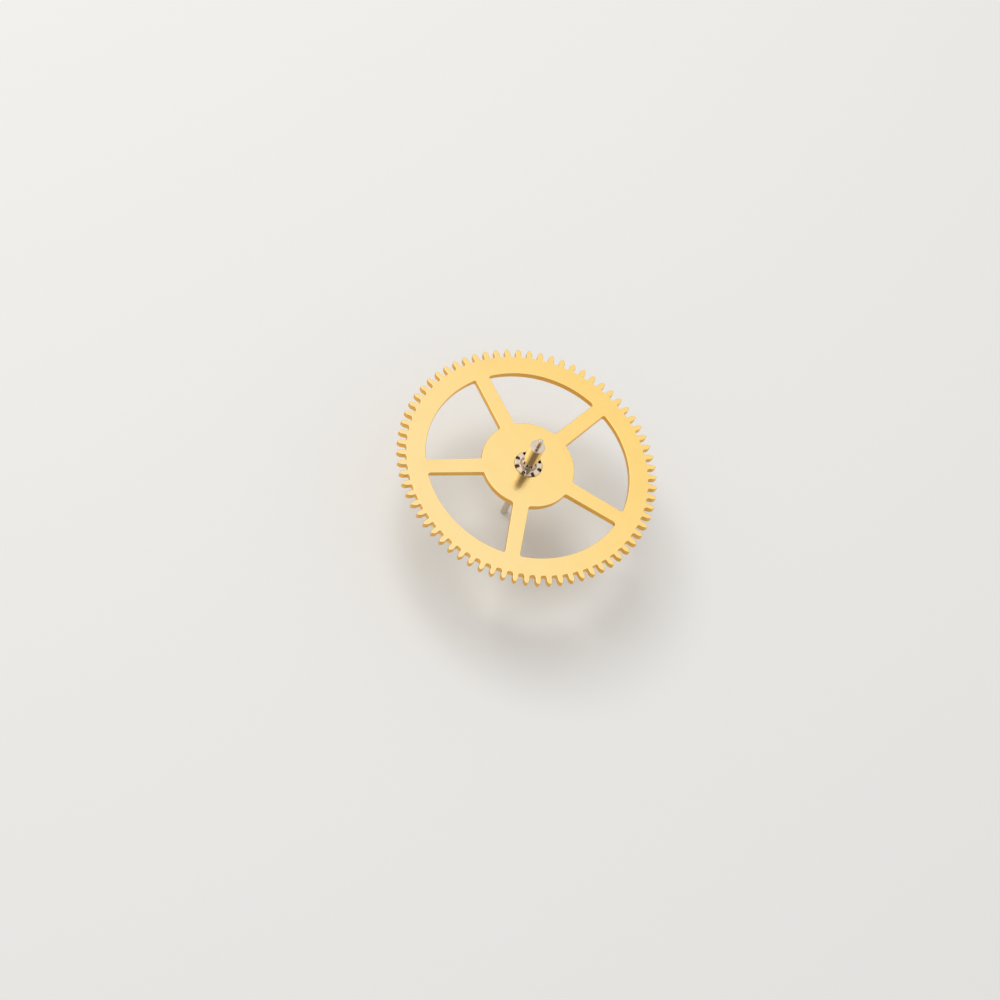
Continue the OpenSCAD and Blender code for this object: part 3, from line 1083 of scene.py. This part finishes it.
def add_sky(settings):
    """White behind the part. Polished metal sees a softly lit room with dark cards instead."""
    world = bpy.data.worlds.new("studio")
    bpy.context.scene.world = world
    tree = empty_tree(world)
    direction = shader(tree, "TexCoord").outputs["Generated"]
    height = shader(tree, "SeparateXYZ", {0: direction}).outputs[2]
    room = ramp(tree, height, 0.0, 0.6, settings.horizon, 1.0)
    for azimuth in CARD_AZIMUTHS:
        card = spot(tree, direction, azimuth, CARD_ELEVATION, *CARD_ANGLES)
        room = product(tree, room, blend_numbers(tree, card, 1.0, settings.card))
    glow = spot(tree, direction, GLOW_AZIMUTH, GLOW_ELEVATION, *GLOW_ANGLES)
    room = calculate(tree, "ADD", room, product(tree, glow, settings.glow))
    lens = spot(tree, direction, LENS_AZIMUTH, math.pi / 2 - VIEW_TILT, *LENS_ANGLES)
    mirrored_sky = product(tree, room, blend_numbers(tree, lens, 1.0, settings.lens_shade))
    path = shader(tree, "LightPath")
    in_mirror = calculate(
        tree, "MAXIMUM", path.outputs["Is Glossy Ray"], path.outputs["Is Transmission Ray"]
    )
    strength = blend_numbers(tree, in_mirror, settings.ambient, mirrored_sky)
    strength = blend_numbers(tree, path.outputs["Is Camera Ray"], strength, 1.0)
    sky = shader(tree, "Background", {"Color": (1, 1, 1, 1), "Strength": strength})
    shader(tree, "OutputWorld", {"Surface": sky.outputs[0]})


class SECONDWHEEL_OT_toothed_wheel(bpy.types.Operator):
    """Build the gilt toothed wheel"""

    bl_idname = "second_wheel.toothed_wheel"
    bl_label = "Toothed wheel"

    def execute(self, context):
        settings = context.scene.second_wheel
        sizes = Sizes(settings.wheel)
        rivet = Sizes(settings.rivet)
        wheel = build_wheel(sizes, rivet, gilt_brass(settings.gilt, sizes, rivet))
        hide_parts("wheel")
        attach(wheel, BODY)
        return {"FINISHED"}


class SECONDWHEEL_OT_riveted_pinion(bpy.types.Operator):
    """Build the steel pinion with its arbor, pivots and spread leaf ends"""

    bl_idname = "second_wheel.riveted_pinion"
    bl_label = "Riveted pinion"

    def execute(self, context):
        settings = context.scene.second_wheel
        wheel, leaves = Sizes(settings.wheel), Sizes(settings.pinion)
        rivet, arbor = Sizes(settings.rivet), Sizes(settings.arbor)
        steel = polished_steel(settings.steel, wheel, leaves, rivet, arbor)
        pinion = build_pinion(leaves, rivet, arbor, wheel.thickness, steel)
        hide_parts("pinion")
        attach(pinion, BODY)
        return {"FINISHED"}


class SECONDWHEEL_OT_stage(bpy.types.Operator):
    """Set up the camera, the floor and the light"""

    bl_idname = "second_wheel.stage"
    bl_label = "Stage"

    def execute(self, context):
        settings = context.scene.second_wheel.stage
        add_camera()
        add_floor(settings)
        add_key_light(settings)
        add_sky(settings)
        context.scene.view_settings.view_transform = "Standard"
        return {"FINISHED"}


class SECONDWHEEL_PT_panel(bpy.types.Panel):
    """Lists the sizes, the finishes and the operators"""

    bl_idname = "SECONDWHEEL_PT_panel"
    bl_label = "Second Wheel"
    bl_space_type = "VIEW_3D"
    bl_region_type = "UI"
    bl_category = "Second Wheel"

    def draw(self, context):
        for operator in OPERATORS:
            self.layout.operator(operator.bl_idname)
        settings = context.scene.second_wheel
        for name in SecondWheelSettings.__annotations__:
            group = getattr(settings, name)
            box = self.layout.box()
            box.label(text=name.capitalize())
            for item in type(group).__annotations__:
                box.prop(group, item)


OPERATORS = (SECONDWHEEL_OT_toothed_wheel, SECONDWHEEL_OT_riveted_pinion, SECONDWHEEL_OT_stage)
CLASSES = (
    WheelSizes,
    PinionSizes,
    RivetSizes,
    ArborSizes,
    GiltFinish,
    SteelFinish,
    StageSettings,
    SecondWheelSettings,
    *OPERATORS,
    SECONDWHEEL_PT_panel,
)


def register():
    """Registers the classes and the scene's settings."""
    for item in CLASSES:
        bpy.utils.register_class(item)
    bpy.types.Scene.second_wheel = bpy.props.PointerProperty(type=SecondWheelSettings)


def unregister():
    """Takes the classes and the scene's settings away again."""
    del bpy.types.Scene.second_wheel
    for item in reversed(CLASSES):
        bpy.utils.unregister_class(item)


def main():
    """Builds the part and its stage."""
    register()
    bpy.ops.second_wheel.toothed_wheel()
    bpy.ops.second_wheel.riveted_pinion()
    bpy.ops.second_wheel.stage()


if __name__ == "__main__":
    main()
